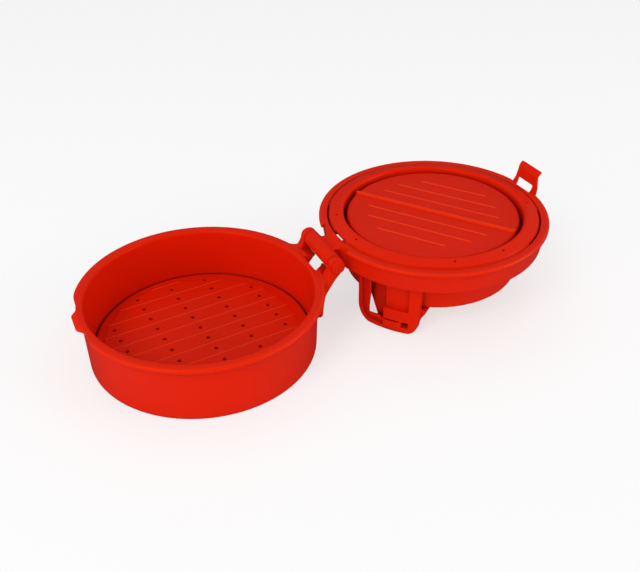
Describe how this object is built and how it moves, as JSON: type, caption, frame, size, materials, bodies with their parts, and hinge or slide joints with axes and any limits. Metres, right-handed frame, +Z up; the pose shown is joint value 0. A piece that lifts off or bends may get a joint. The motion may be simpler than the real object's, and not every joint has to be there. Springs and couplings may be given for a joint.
{
  "type": "patty press",
  "caption": "Hinged round patty press with a cup, lift-out drain plate, and a lid ring holding a press drum, ribbed pressing disc and bridge handle.",
  "frame": {"origin": "centre of the cup's underside, on the table plane", "axes": "+Z up out of the cup, +X from the cup's axis towards the hinge, +Y along the hinge pin; the lid is drawn opened flat on the +X side"},
  "size_m": [0.2776, 0.132, 0.0646],
  "materials": {
    "cup_plastic": "glossy moulded polypropylene, red",
    "plate_plastic": "satin moulded polypropylene, red",
    "pin_plastic": "glossy moulded plastic, red",
    "lid_plastic": "glossy moulded polypropylene, red",
    "latch_plastic": "glossy moulded polypropylene, red",
    "drum_plastic": "glossy moulded polypropylene, red",
    "puck_plastic": "satin moulded polypropylene, red",
    "handle_plastic": "glossy moulded polypropylene, red",
    "clip_plastic": "plain moulded acetal, red",
    "fastener_steel": "stainless steel"
  },
  "bodies": {
    "cup": {"base_cup": "cup_plastic", "hinge_pin": "pin_plastic"},
    "plate": {"drain_plate": "plate_plastic"},
    "lid": {"lid_ring": "lid_plastic", "press_drum": "drum_plastic"},
    "latch": {"latch_loop": "latch_plastic"},
    "handle": {"handle": "handle_plastic", "retainer_clip": "clip_plastic", "handle_cap": "handle_plastic"},
    "puck": {"press_puck": "puck_plastic", "stem_washer": "fastener_steel", "stem_screw": "fastener_steel"}
  },
  "joints": [
    {"name": "lid_hinge", "type": "hinge", "parent": "cup", "child": "lid", "pos_m": [0.071, 0, 0.0412], "axis": [0, -1, 0], "range_deg": [0, 178.26]},
    {"name": "plate_lift", "type": "slide", "parent": "cup", "child": "plate", "axis": [0, 0, 1], "range_m": [0, 0.012]},
    {"name": "latch_flex", "type": "hinge", "parent": "lid", "child": "latch", "pos_m": [0.20709, 0, 0.05014], "axis": [0, 1, 0], "range_deg": [-6, 10], "stiffness_Nm_per_rad": 0.2},
    {"name": "handle_twist", "type": "hinge", "parent": "lid", "child": "handle", "pos_m": [0.14178, 0, 0.04936], "axis": [-0.0304, 0, 0.9995], "range_deg": [0, 180]},
    {"name": "puck_travel", "type": "slide", "parent": "handle", "child": "puck", "axis": [-0.0304, 0, 0.9995], "range_m": [0, 0.012]}
  ],
  "couplings": [
    {"joint": "puck_travel", "follows": "handle_twist", "m_per_rad": 0.0038197}
  ]
}
